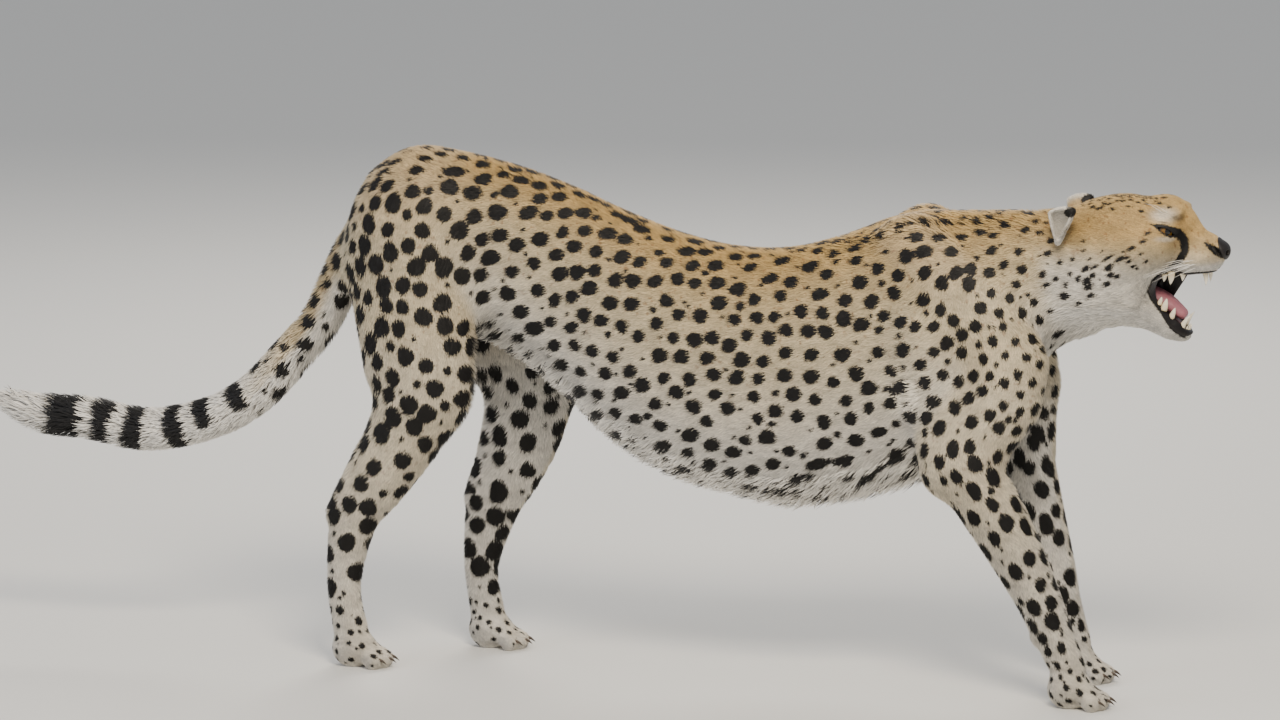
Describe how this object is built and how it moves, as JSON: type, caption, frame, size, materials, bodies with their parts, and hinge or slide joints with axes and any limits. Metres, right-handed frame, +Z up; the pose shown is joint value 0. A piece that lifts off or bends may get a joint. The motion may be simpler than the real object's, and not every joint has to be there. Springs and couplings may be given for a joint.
{
  "type": "cheetah model",
  "caption": "Life-size standing cheetah, mouth open in a yawning stretch, back hollowed and tail trailing, as a still museum display animal.",
  "frame": {"origin": "on the floor under the middle of the model's length and width", "axes": "+X the way the animal faces, +Y its left side, +Z up"},
  "size_m": [1.7959, 0.2663, 0.7343],
  "materials": {
    "coat": "short tan fur with black spots, paler and longer below",
    "nose": "moist dark nose leather, lips and paw pads",
    "eye": "wet amber eye with a round dark pupil",
    "mouth": "moist pink tongue and mouth lining",
    "teeth": "ivory teeth and claws"
  },
  "bodies": {
    "root": {"chest": "coat", "ear_left": "coat", "ear_right": "coat", "eye_left": "eye", "eye_right": "eye", "foreleg_left": "coat", "foreleg_right": "coat", "forepaw_left": "coat", "forepaw_right": "coat", "head": "coat", "hindpaw_left": "coat", "hindpaw_right": "coat", "hock_left": "coat", "hock_right": "coat", "loin": "coat", "lower_jaw": "coat", "neck": "coat", "nose": "nose", "rump": "coat", "shank_left": "coat", "shank_right": "coat", "tail_base": "coat", "tail_end": "coat", "tail_middle": "coat", "tail_tip": "coat", "thigh_left": "coat", "thigh_right": "coat", "tongue": "mouth"}
  },
  "joints": []
}
